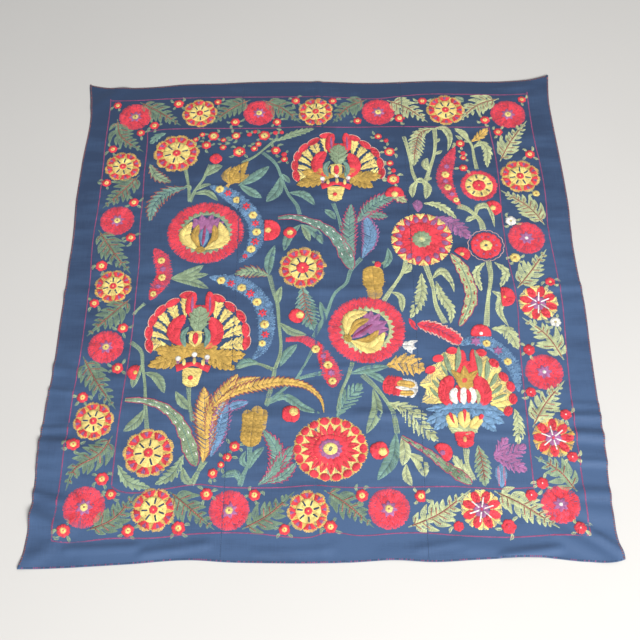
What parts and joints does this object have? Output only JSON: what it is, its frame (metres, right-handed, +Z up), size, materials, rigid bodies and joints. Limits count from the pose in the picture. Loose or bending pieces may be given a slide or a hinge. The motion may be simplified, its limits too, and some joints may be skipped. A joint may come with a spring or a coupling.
{
  "type": "suzani embroidered textile",
  "caption": "Flat-lying embroidered cotton cloth of joined loom widths, with gently wavering hemmed edges, pulled-out corners and soft fold creases.",
  "frame": {"origin": "centre of the cloth's outline box, on the floor it lies on", "axes": "+Z up out of the embroidered face, +Y along the loom widths towards the far edge, +X across the cloth to the viewer's right"},
  "size_m": [1.424, 1.4879, 0.008],
  "materials": {
    "ground_cotton": "matte indigo-blue plain-weave cotton, hand embroidered in silk and cotton thread"
  },
  "bodies": {
    "root": {"panel_left": "ground_cotton", "panel_middle": "ground_cotton", "panel_right": "ground_cotton"}
  },
  "joints": []
}
